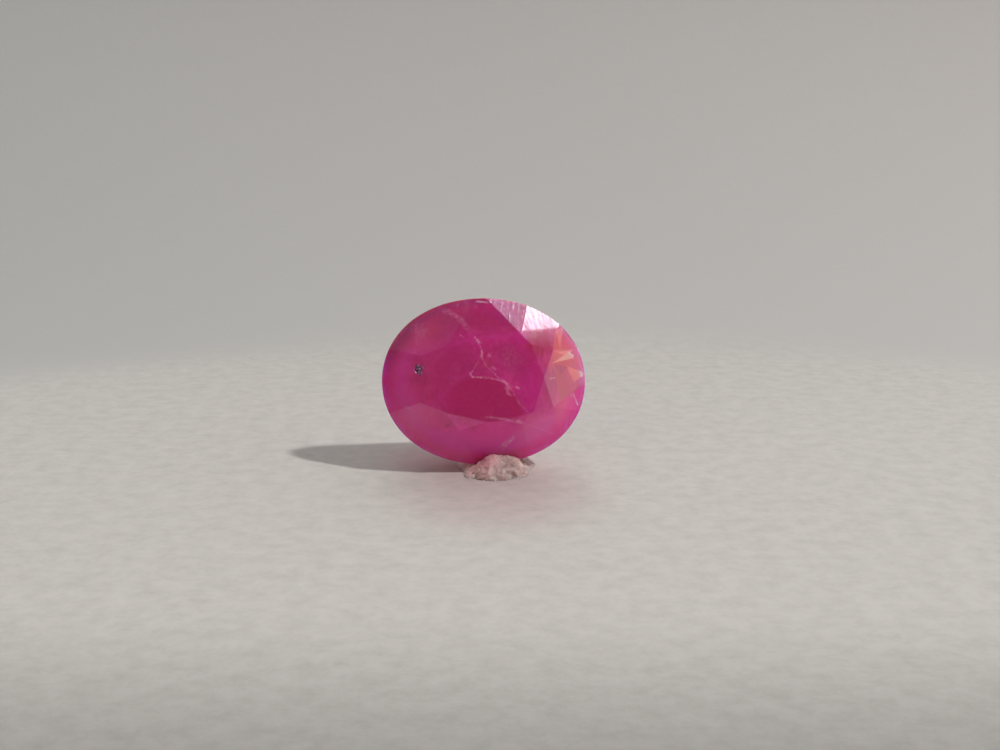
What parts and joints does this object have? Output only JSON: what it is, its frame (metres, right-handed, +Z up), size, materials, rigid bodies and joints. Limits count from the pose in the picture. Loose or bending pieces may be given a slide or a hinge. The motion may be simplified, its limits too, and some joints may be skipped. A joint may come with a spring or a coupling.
{
  "type": "faceted oval ruby",
  "caption": "Oval brilliant-cut ruby, slightly hazy, standing on its edge and leaning back in a small pressed dab of putty with a flat underside.",
  "frame": {"origin": "middle of the bottom of the whole object's box, on the plane that the putty rests on", "axes": "+Z up, -Y the way the table of the stone looks, +X to the viewer's right along the stone's long axis"},
  "size_m": [0.011, 0.007, 0.0091],
  "materials": {
    "ruby": "polished",
    "putty": "satin"
  },
  "bodies": {
    "root": {"ruby": "ruby", "putty": "putty"}
  },
  "joints": []
}
